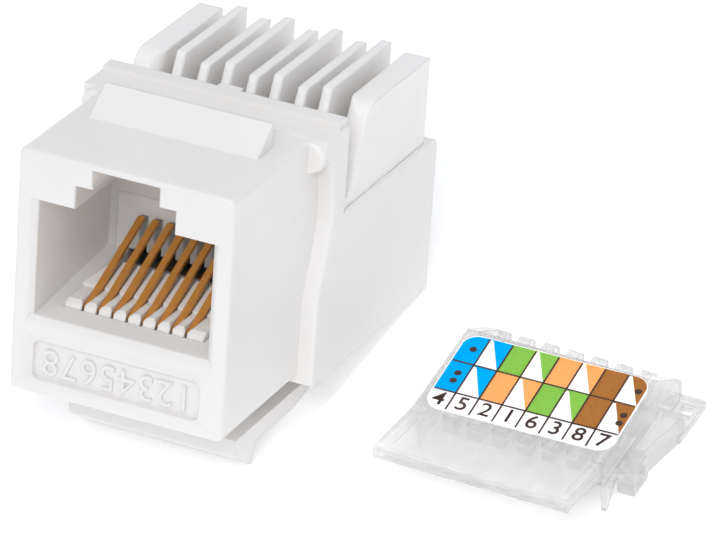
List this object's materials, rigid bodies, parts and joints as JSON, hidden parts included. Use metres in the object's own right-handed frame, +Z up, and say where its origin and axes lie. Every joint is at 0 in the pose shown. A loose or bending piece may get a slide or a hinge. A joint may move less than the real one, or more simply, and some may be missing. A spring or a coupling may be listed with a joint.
{
  "type": "keystone jack",
  "caption": "Snap-in data socket for a wall plate or panel: spring wires in a plug port, slots for cable wires behind it, a sprung latch below, and a clear wiring cap lying beside it.",
  "frame": {"origin": "middle of the panel cut-out, in the plane of the ears that bear on the back of the panel", "axes": "-Y out of the plug port towards the user, +Z up with the fixed hook on top and the latch below, +X to the right seen from behind"},
  "size_m": [0.0385, 0.0284, 0.0235],
  "materials": {
    "white_shell": "satin white moulding",
    "white_comb": "satin white moulding",
    "white_block": "satin white moulding",
    "gold_wire": "gold-plated spring wire",
    "blade_metal": "tinned bronze strip",
    "board": "dark board laminate",
    "clear_cap": "clear moulding",
    "label": "printed film"
  },
  "bodies": {
    "base": {"housing": "white_shell", "contact_carrier": "white_comb", "contact_legs": "gold_wire", "circuit_board": "board", "idc_block": "white_block", "idc_blade_1": "blade_metal", "idc_blade_2": "blade_metal", "idc_blade_3": "blade_metal", "idc_blade_4": "blade_metal", "idc_blade_5": "blade_metal", "idc_blade_6": "blade_metal", "idc_blade_7": "blade_metal", "idc_blade_8": "blade_metal", "wiring_cap": "clear_cap", "cap_label": "label"},
    "latch": {"latch_arm": "white_shell"},
    "wire_1": {"contact_1": "gold_wire"},
    "wire_2": {"contact_2": "gold_wire"},
    "wire_3": {"contact_3": "gold_wire"},
    "wire_4": {"contact_4": "gold_wire"},
    "wire_5": {"contact_5": "gold_wire"},
    "wire_6": {"contact_6": "gold_wire"},
    "wire_7": {"contact_7": "gold_wire"},
    "wire_8": {"contact_8": "gold_wire"}
  },
  "joints": [
    {"name": "latch_flex", "type": "hinge", "parent": "base", "child": "latch", "pos_m": [0, 0.0075, -0.0074], "axis": [-1, 0, 0], "range_deg": [0, 11], "stiffness_Nm_per_rad": 1},
    {"name": "wire_1_press", "type": "hinge", "parent": "base", "child": "wire_1", "pos_m": [-0.00356, -0.00755, -0.00134], "axis": [-1, 0, 0], "range_deg": [0, 14], "stiffness_Nm_per_rad": 0.02},
    {"name": "wire_2_press", "type": "hinge", "parent": "base", "child": "wire_2", "pos_m": [-0.00254, -0.00755, -0.00134], "axis": [-1, 0, 0], "range_deg": [0, 14], "stiffness_Nm_per_rad": 0.02},
    {"name": "wire_3_press", "type": "hinge", "parent": "base", "child": "wire_3", "pos_m": [-0.00152, -0.00755, -0.00134], "axis": [-1, 0, 0], "range_deg": [0, 14], "stiffness_Nm_per_rad": 0.02},
    {"name": "wire_4_press", "type": "hinge", "parent": "base", "child": "wire_4", "pos_m": [-0.00051, -0.00755, -0.00134], "axis": [-1, 0, 0], "range_deg": [0, 14], "stiffness_Nm_per_rad": 0.02},
    {"name": "wire_5_press", "type": "hinge", "parent": "base", "child": "wire_5", "pos_m": [0.00051, -0.00755, -0.00134], "axis": [-1, 0, 0], "range_deg": [0, 14], "stiffness_Nm_per_rad": 0.02},
    {"name": "wire_6_press", "type": "hinge", "parent": "base", "child": "wire_6", "pos_m": [0.00152, -0.00755, -0.00134], "axis": [-1, 0, 0], "range_deg": [0, 14], "stiffness_Nm_per_rad": 0.02},
    {"name": "wire_7_press", "type": "hinge", "parent": "base", "child": "wire_7", "pos_m": [0.00254, -0.00755, -0.00134], "axis": [-1, 0, 0], "range_deg": [0, 14], "stiffness_Nm_per_rad": 0.02},
    {"name": "wire_8_press", "type": "hinge", "parent": "base", "child": "wire_8", "pos_m": [0.00356, -0.00755, -0.00134], "axis": [-1, 0, 0], "range_deg": [0, 14], "stiffness_Nm_per_rad": 0.02}
  ]
}
